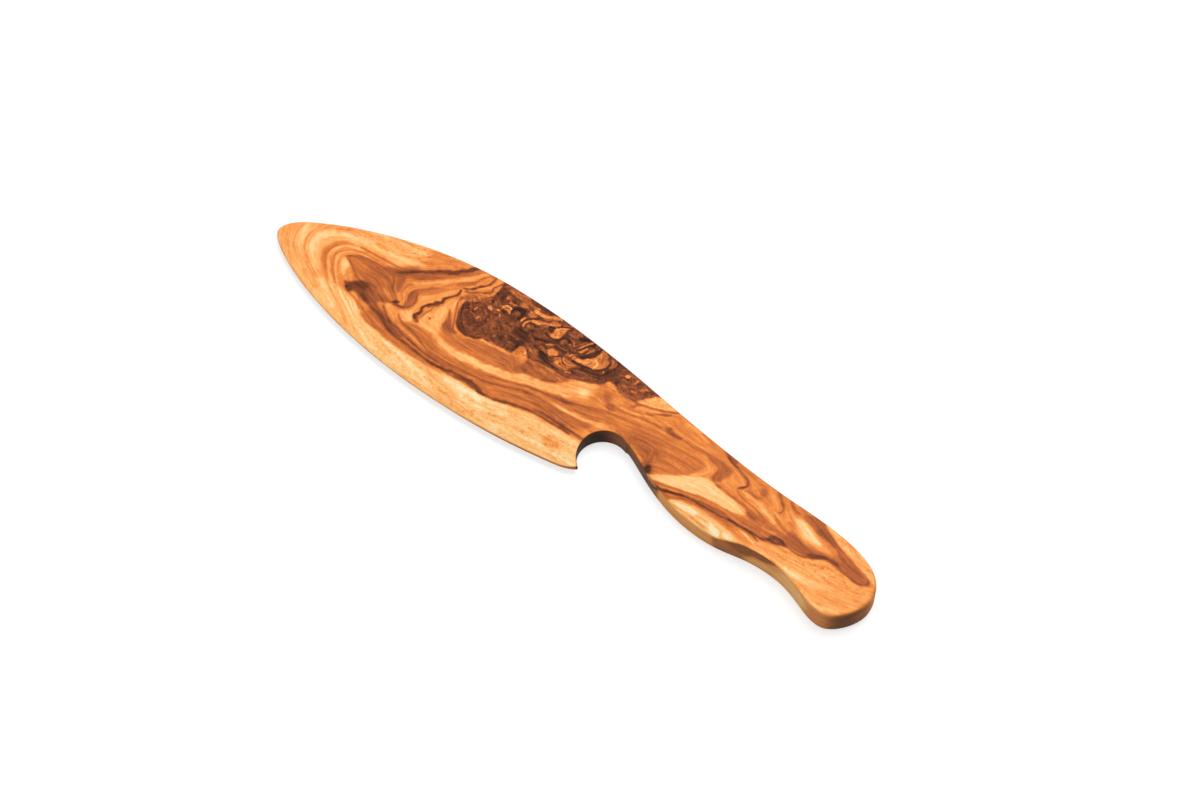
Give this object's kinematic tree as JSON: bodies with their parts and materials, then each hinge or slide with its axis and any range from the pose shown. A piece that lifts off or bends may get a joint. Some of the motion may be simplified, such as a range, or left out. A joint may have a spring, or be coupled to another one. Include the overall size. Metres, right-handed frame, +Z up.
{
  "type": "butter knife",
  "caption": "Butter knife carved from one piece of olive wood, with a broad blunt leaf-shaped blade, a round finger notch at the heel and a waisted handle.",
  "frame": {"origin": "bottom centre of the knife's bounding box, on the surface it lies on", "axes": "+X from the tip to the butt along the knife, +Y from the cutting edge to the spine, +Z up out of the face it lies on"},
  "size_m": [0.2006, 0.0406, 0.0073],
  "materials": {
    "olive_wood": "smooth oiled olive wood with a strong dark figure, satin"
  },
  "bodies": {
    "root": {"knife_body": "olive_wood"}
  },
  "joints": []
}
